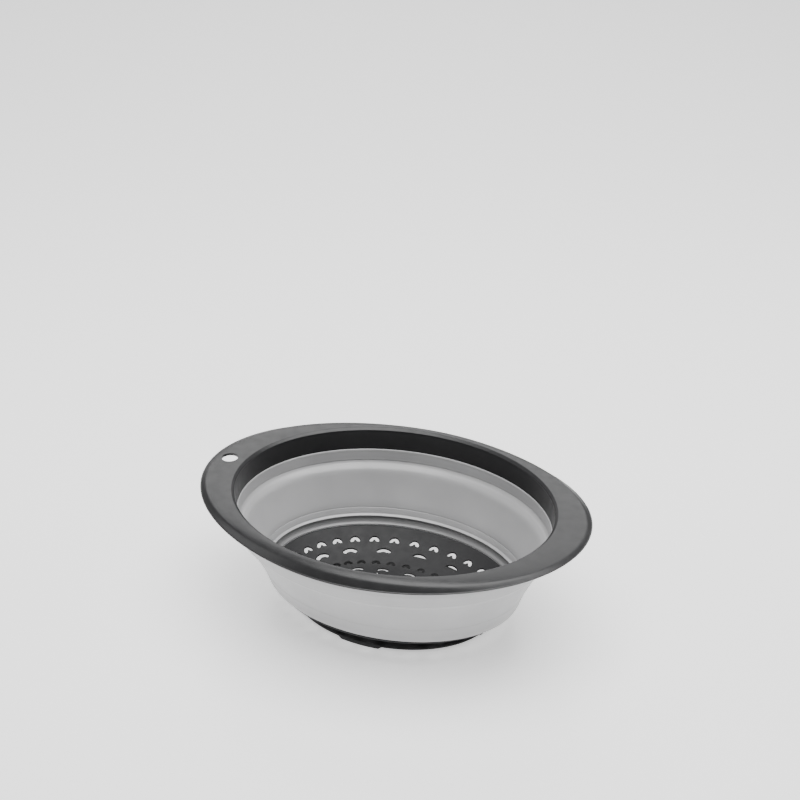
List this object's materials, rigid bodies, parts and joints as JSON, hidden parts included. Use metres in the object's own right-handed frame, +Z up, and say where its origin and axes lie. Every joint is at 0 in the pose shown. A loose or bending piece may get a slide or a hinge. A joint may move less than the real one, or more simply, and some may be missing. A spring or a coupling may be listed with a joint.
{
  "type": "folding colander",
  "caption": "Oval folding colander: rigid dark rim with a hang hole in one handle end, light soft wall that rolls flat, dark slotted strainer base on a foot ring.",
  "frame": {"origin": "centre of the underside of the four foot pads, on the surface it stands on", "axes": "+Z up, +X along the length with the hang hole at the -X end, +Y across"},
  "size_m": [0.31, 0.228, 0.098],
  "materials": {
    "rigid_plastic": "satin dark grey moulded plastic",
    "base_plastic": "satin darker grey moulded plastic",
    "soft_silicone": "soft light grey silicone with a low sheen"
  },
  "bodies": {
    "rim": {"rim_flange": "rigid_plastic", "rim_skirt": "rigid_plastic", "wall_upper_band": "soft_silicone"},
    "wall_ring_1": {"wall_fold_ring_1": "soft_silicone"},
    "wall_ring_2": {"wall_fold_ring_2": "soft_silicone"},
    "wall_ring_3": {"wall_fold_ring_3": "soft_silicone"},
    "wall_ring_4": {"wall_fold_ring_4": "soft_silicone"},
    "wall_ring_5": {"wall_fold_ring_5": "soft_silicone"},
    "wall_ring_6": {"wall_fold_ring_6": "soft_silicone"},
    "base": {"wall_lower_band": "soft_silicone", "strainer_plate": "base_plastic", "foot_ring": "base_plastic"}
  },
  "joints": [
    {"name": "base_lift", "type": "slide", "parent": "rim", "child": "base", "axis": [0, 0, 1], "range_m": [0, 0.067]},
    {"name": "wall_roll_1", "type": "slide", "parent": "rim", "child": "wall_ring_1", "axis": [0, 0, 1], "range_m": [0, 0.00405]},
    {"name": "wall_roll_2", "type": "slide", "parent": "rim", "child": "wall_ring_2", "axis": [0, 0, 1], "range_m": [0, 0.01357]},
    {"name": "wall_roll_3", "type": "slide", "parent": "rim", "child": "wall_ring_3", "axis": [0, 0, 1], "range_m": [0, 0.0264]},
    {"name": "wall_roll_4", "type": "slide", "parent": "rim", "child": "wall_ring_4", "axis": [0, 0, 1], "range_m": [0, 0.04035]},
    {"name": "wall_roll_5", "type": "slide", "parent": "rim", "child": "wall_ring_5", "axis": [0, 0, 1], "range_m": [0, 0.05322]},
    {"name": "wall_roll_6", "type": "slide", "parent": "rim", "child": "wall_ring_6", "axis": [0, 0, 1], "range_m": [0, 0.06283]}
  ],
  "couplings": [
    {"joint": "wall_roll_1", "follows": "base_lift", "ratio": 0.0603},
    {"joint": "wall_roll_2", "follows": "base_lift", "ratio": 0.2024},
    {"joint": "wall_roll_3", "follows": "base_lift", "ratio": 0.3939},
    {"joint": "wall_roll_4", "follows": "base_lift", "ratio": 0.6021},
    {"joint": "wall_roll_5", "follows": "base_lift", "ratio": 0.7942},
    {"joint": "wall_roll_6", "follows": "base_lift", "ratio": 0.9376}
  ]
}
